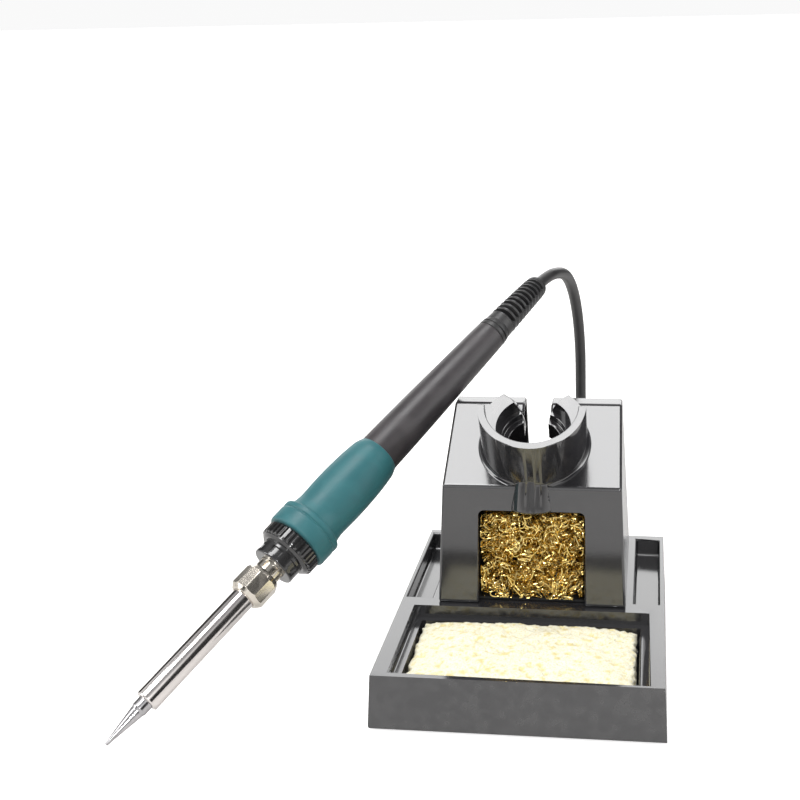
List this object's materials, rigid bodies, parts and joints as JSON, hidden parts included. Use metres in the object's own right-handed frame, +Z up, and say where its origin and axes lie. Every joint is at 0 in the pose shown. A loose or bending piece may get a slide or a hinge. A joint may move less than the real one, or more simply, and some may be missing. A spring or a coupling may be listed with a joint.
{
  "type": "soldering iron station",
  "caption": "Bench stand with a sponge tray, brass wool window and stepped iron holder, and a corded soldering iron leaning on it.",
  "frame": {"origin": "middle of the underside of the stand's non-slip pad, on the surface that the stand rests on", "axes": "+Z up, +Y towards the back of the stand, +X to the right as seen from the sponge tray"},
  "size_m": [0.1705, 0.2379, 0.1177],
  "materials": {
    "moulding_black": "gloss",
    "holder_black": "gloss",
    "plate_steel": "satin",
    "pad_rubber": "matte",
    "ballast_steel": "satin",
    "screw_steel": "satin",
    "inner_black": "matte",
    "wool_brass": "bright",
    "sponge_cream": "matte",
    "tip_metal": "satin",
    "sleeve_chrome": "polished",
    "nut_nickel": "satin",
    "ceramic_white": "matte",
    "nose_black": "gloss",
    "grip_teal": "satin",
    "handle_charcoal": "satin",
    "board_green": "satin",
    "lead_insulation": "matte",
    "spring_steel": "satin",
    "boot_rubber": "satin",
    "cord_sheath": "satin",
    "tie_black": "matte",
    "plug_black": "satin",
    "coupling_metal": "satin",
    "pin_gold": "polished"
  },
  "bodies": {
    "stand": {"base_tray": "moulding_black", "bottom_plate": "plate_steel", "foot_pad": "pad_rubber", "ballast": "ballast_steel", "plate_screws": "screw_steel", "tower": "moulding_black", "tower_screws": "screw_steel", "iron_holder": "holder_black", "holder_ring": "inner_black", "wool_box": "inner_black", "cord_coil": "cord_sheath", "coil_tie": "tie_black", "cord_tail": "cord_sheath", "plug_boot": "boot_rubber", "plug_body": "plug_black", "plug_insert": "ceramic_white", "plug_pins": "pin_gold"},
    "sponge_pad": {"sponge": "sponge_cream"},
    "wool": {"brass_wool": "wool_brass"},
    "iron": {"tip": "tip_metal", "tip_sleeve": "sleeve_chrome", "threaded_neck": "nut_nickel", "heater_rod": "ceramic_white", "heater_seat": "ceramic_white", "nose_boss": "nose_black", "grip": "grip_teal", "handle_shell": "handle_charcoal", "terminal_board": "board_green", "heater_leads": "lead_insulation", "earth_spring": "spring_steel", "inner_cable": "cord_sheath", "cable_clamp": "inner_black", "rear_collar": "boot_rubber", "strain_relief": "boot_rubber", "cord_lead": "cord_sheath"},
    "nut": {"sleeve_nut": "nut_nickel"},
    "front_ring": {"ribbed_ring": "nose_black"},
    "coupling": {"plug_ring": "coupling_metal"}
  },
  "joints": [
    {"name": "sponge_lift", "type": "slide", "parent": "stand", "child": "sponge_pad", "axis": [0, 0, 1], "range_m": [0, 0.03]},
    {"name": "wool_pull", "type": "slide", "parent": "stand", "child": "wool", "axis": [0, -1, 0], "range_m": [0, 0.008]},
    {"name": "iron_lift", "type": "slide", "parent": "stand", "child": "iron", "axis": [0, 0, 1], "range_m": [0, 0.06]},
    {"name": "nut_turn", "type": "hinge", "parent": "iron", "child": "nut", "pos_m": [-0.08759, -0.03763, 0.0353], "axis": [0.5394, 0.6661, 0.515], "continuous": true},
    {"name": "ring_turn", "type": "hinge", "parent": "iron", "child": "front_ring", "pos_m": [-0.07831, -0.02617, 0.04415], "axis": [0.5394, 0.6661, 0.515], "continuous": true},
    {"name": "coupling_turn", "type": "hinge", "parent": "stand", "child": "coupling", "pos_m": [0.022, 0.076, 0.0085], "axis": [1, 0, 0], "continuous": true}
  ]
}
